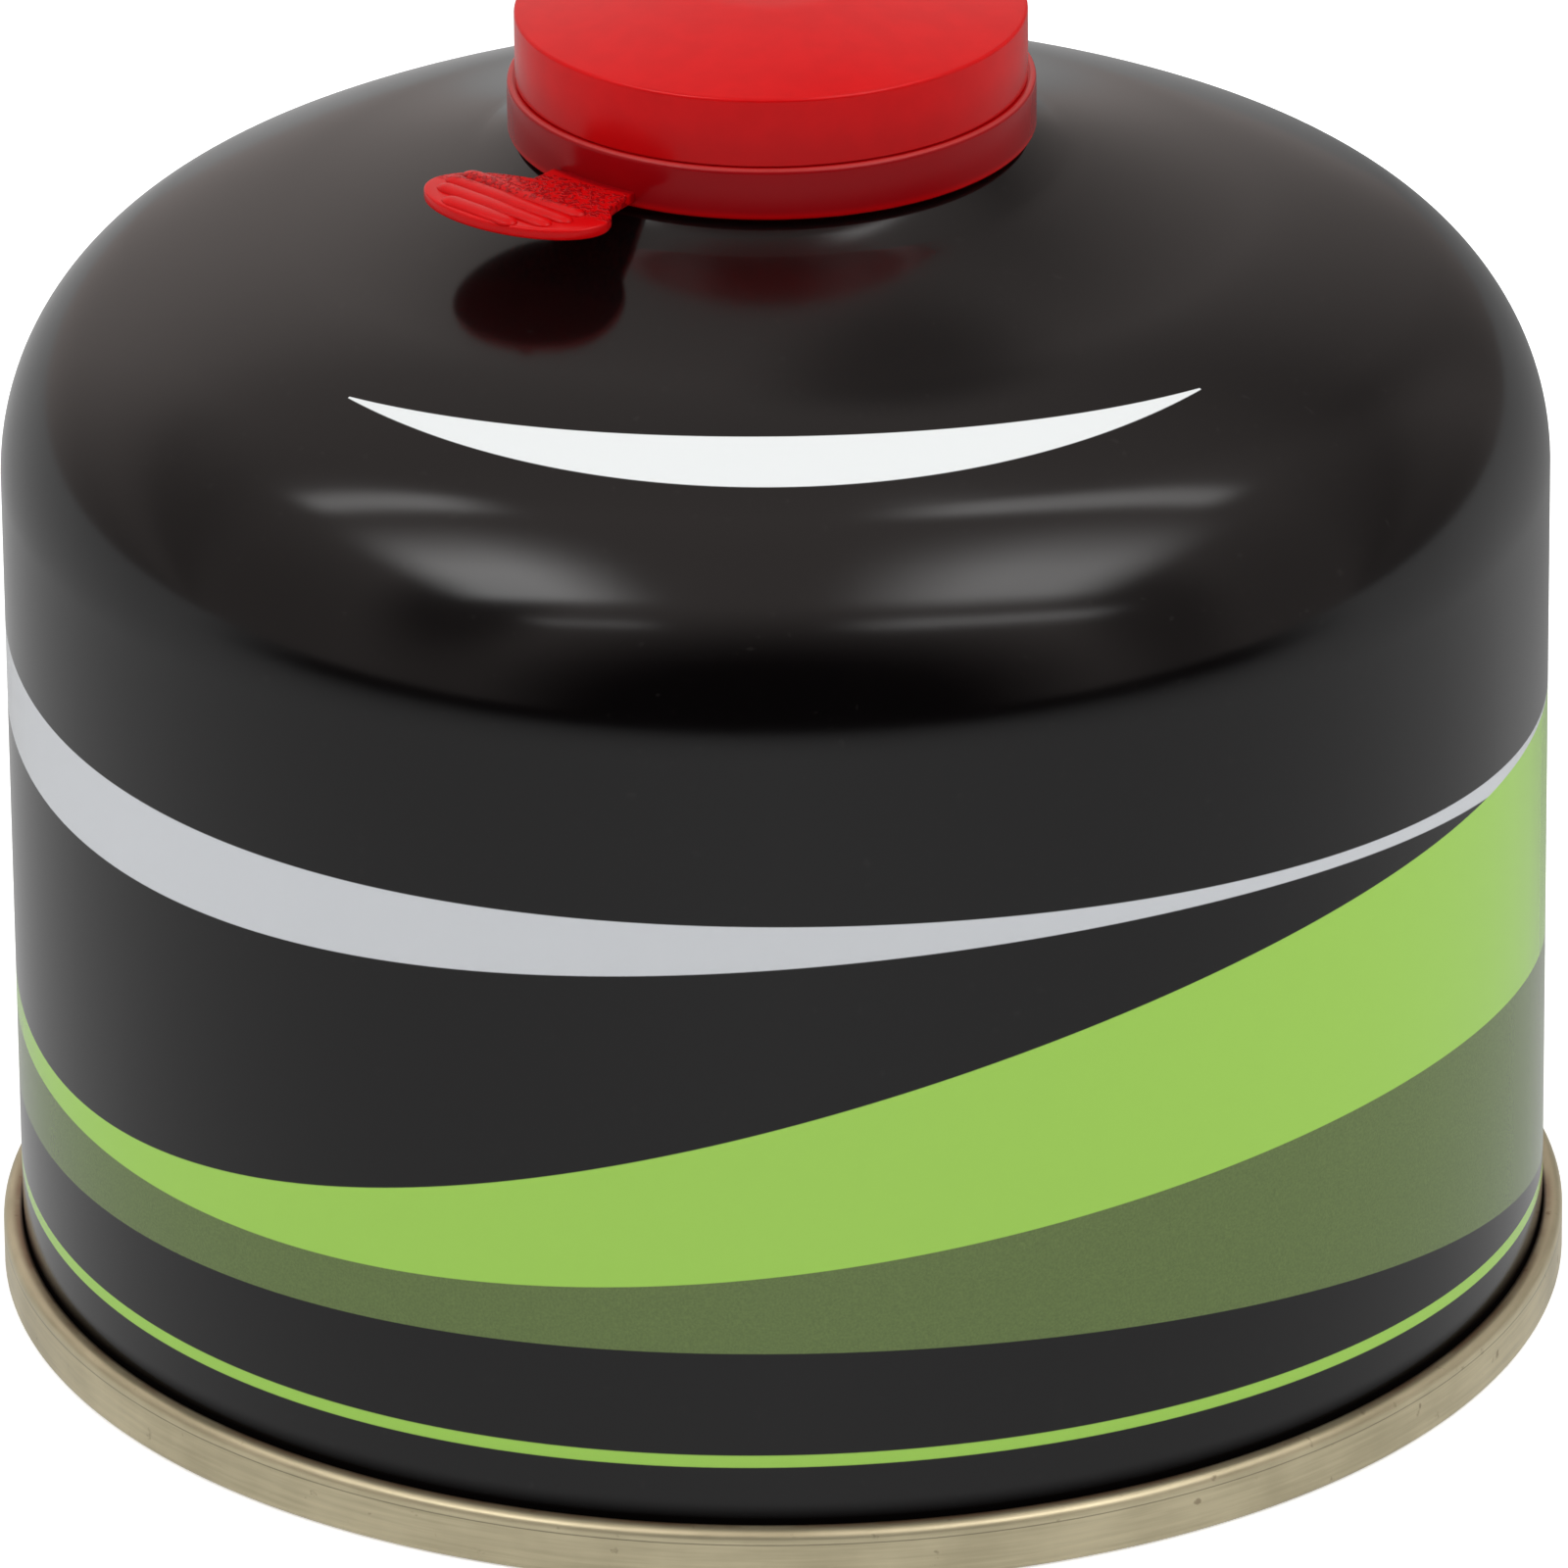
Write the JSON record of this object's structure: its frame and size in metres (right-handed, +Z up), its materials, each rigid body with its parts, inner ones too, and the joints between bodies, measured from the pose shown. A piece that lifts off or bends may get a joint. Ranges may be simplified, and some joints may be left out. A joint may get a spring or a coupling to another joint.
{
  "type": "fuel canister",
  "caption": "Low round fuel canister of drawn steel, with a domed shoulder, a seamed concave base, a threaded valve and a tear-band plastic cap with a pull tab.",
  "frame": {"origin": "centre of the plane that the bottom seam stands on", "axes": "+Z up along the can's axis; -Y is the printed front"},
  "size_m": [0.11, 0.11, 0.0955],
  "materials": {
    "printed_can": "glossy black print over steel, with flat fields of green",
    "tinplate": "lacquered tinplate, satin, warm grey",
    "cup_steel": "bright drawn steel",
    "seal_rubber": "matt",
    "valve_plastic": "moulded, matt",
    "cap_plastic": "injection moulded, soft gloss"
  },
  "bodies": {
    "root": {"can_body": "printed_can", "bottom_end": "tinplate", "valve_cup": "cup_steel", "valve_gasket": "seal_rubber", "valve_core": "valve_plastic", "cap": "cap_plastic"}
  },
  "joints": []
}
